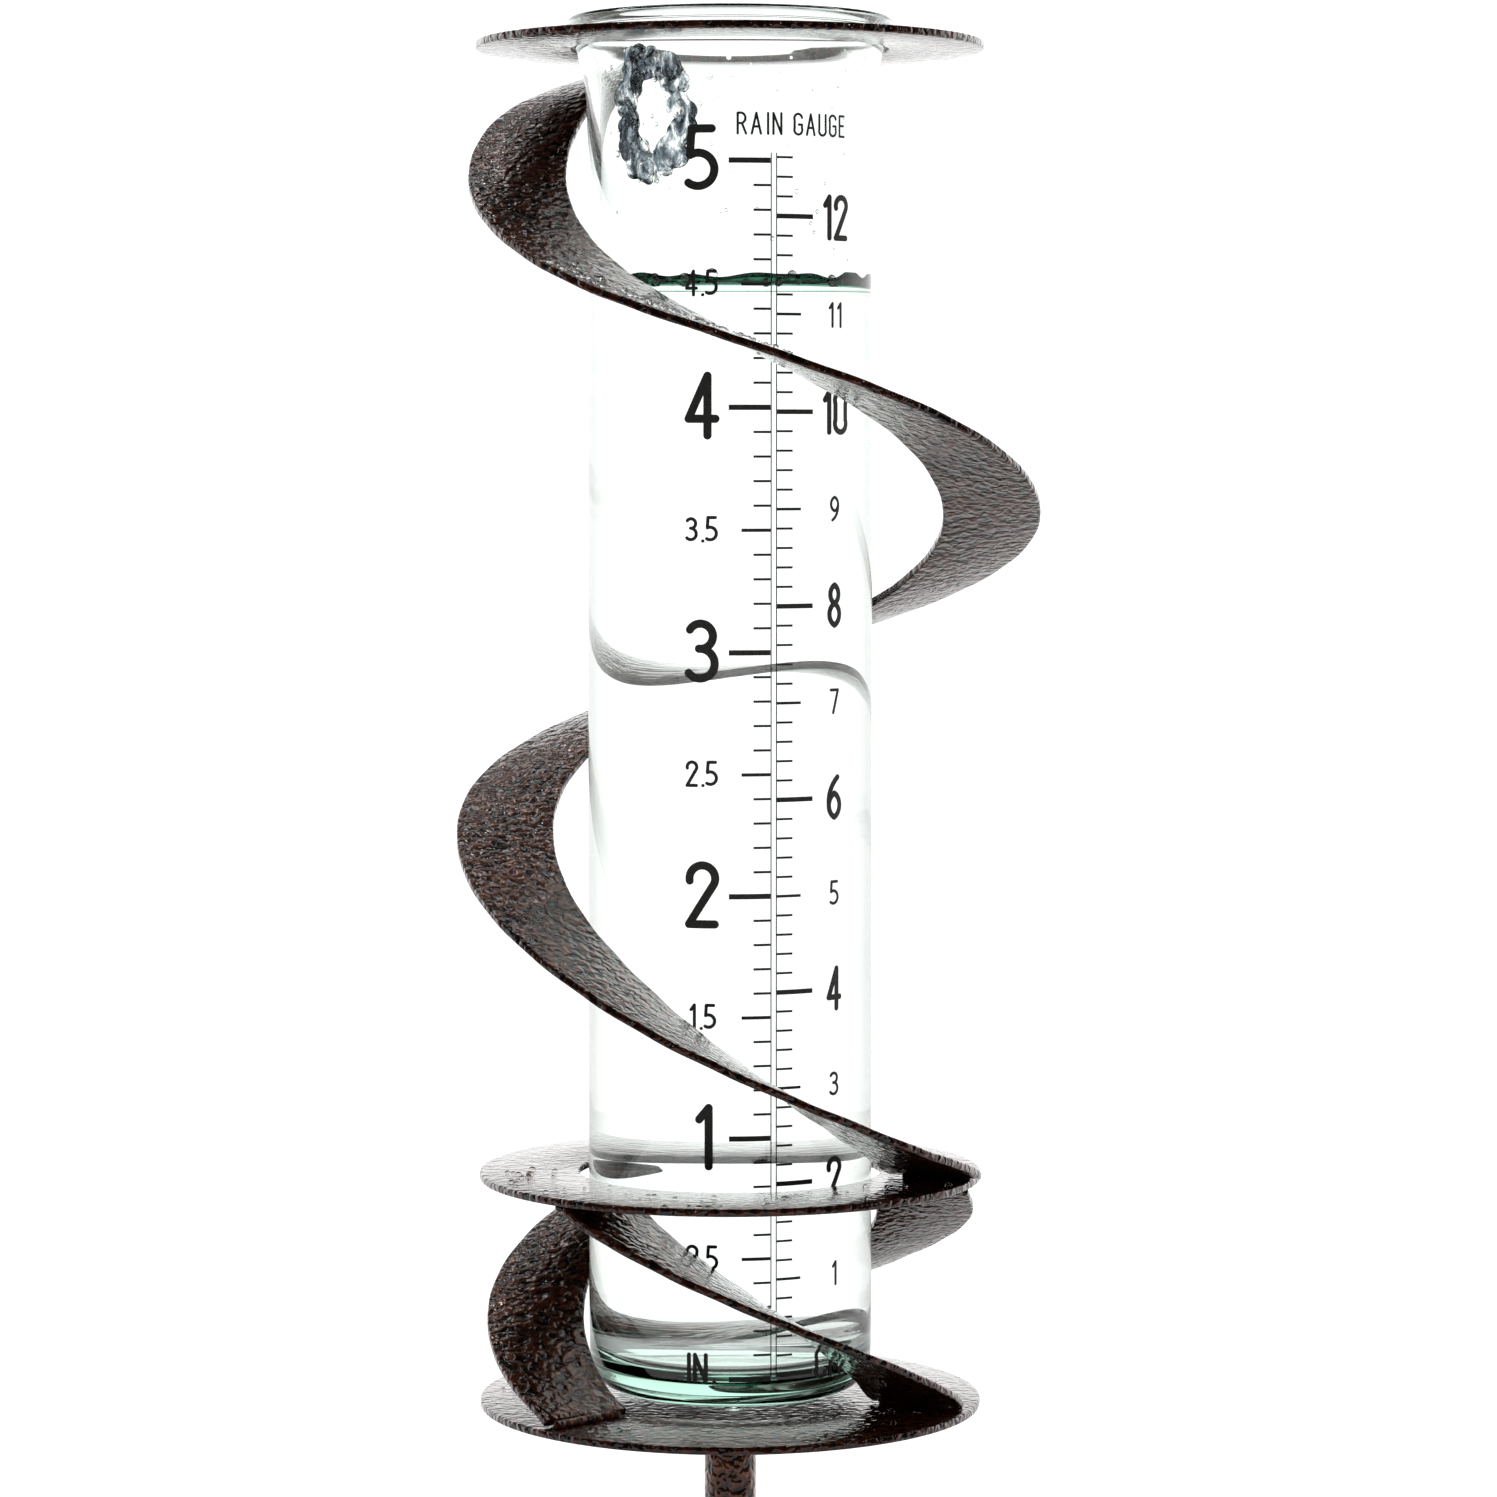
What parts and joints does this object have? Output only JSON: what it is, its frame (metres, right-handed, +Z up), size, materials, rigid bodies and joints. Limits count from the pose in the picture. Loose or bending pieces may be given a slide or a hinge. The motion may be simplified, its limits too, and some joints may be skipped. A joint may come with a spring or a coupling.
{
  "type": "manual rain gauge",
  "caption": "Rain gauge: a flared glass measuring tube hung by its lip in a spiral steel ribbon holder on a round garden stake.",
  "frame": {"origin": "on the stake's axis at ground level, 150 mm above the stake's point, inside the wall of the stake mount", "axes": "+Z up along the stake and the tube, -Y to the front, where the printed scale faces, +X to the right"},
  "size_m": [0.0902, 0.0925, 0.4936],
  "materials": {
    "bronze_coat": "dark bronze hammer-textured powder coat, glossy",
    "glass": "clear, polished, green-tinted where thick",
    "ink": "black screen-printing ink",
    "zinc_steel": "zinc plated"
  },
  "bodies": {
    "lower_stake": {"lower_stake": "bronze_coat"},
    "stake_stud": {"stake_stud": "zinc_steel"},
    "holder": {"top_ring": "bronze_coat", "main_spiral": "bronze_coat", "middle_ring": "bronze_coat", "lower_ribbon_rear": "bronze_coat", "lower_ribbon_left": "bronze_coat", "lower_ribbon_front": "bronze_coat", "base_disc": "bronze_coat", "top_ring_weld": "bronze_coat", "middle_ring_welds": "bronze_coat", "base_disc_welds": "bronze_coat", "upper_stake": "bronze_coat", "stake_weld": "bronze_coat"},
    "tube": {"glass_tube": "glass", "inch_scale_print": "ink", "centimetre_scale_print": "ink", "inch_numerals_print": "ink", "centimetre_numerals_print": "ink", "title_print": "ink"}
  },
  "joints": [
    {"name": "stud_lift", "type": "slide", "parent": "lower_stake", "child": "stake_stud", "axis": [0, 0, 1], "range_m": [0, 0.012]},
    {"name": "holder_unscrew", "type": "hinge", "parent": "stake_stud", "child": "holder", "pos_m": [0, 0, 0.04], "axis": [0, 0, 1], "range_deg": [0, 5400]},
    {"name": "tube_lift", "type": "slide", "parent": "holder", "child": "tube", "axis": [0, 0, 1], "range_m": [0, 0.225]}
  ],
  "couplings": [
    {"joint": "stud_lift", "follows": "holder_unscrew", "m_per_rad": 0.00012732}
  ]
}
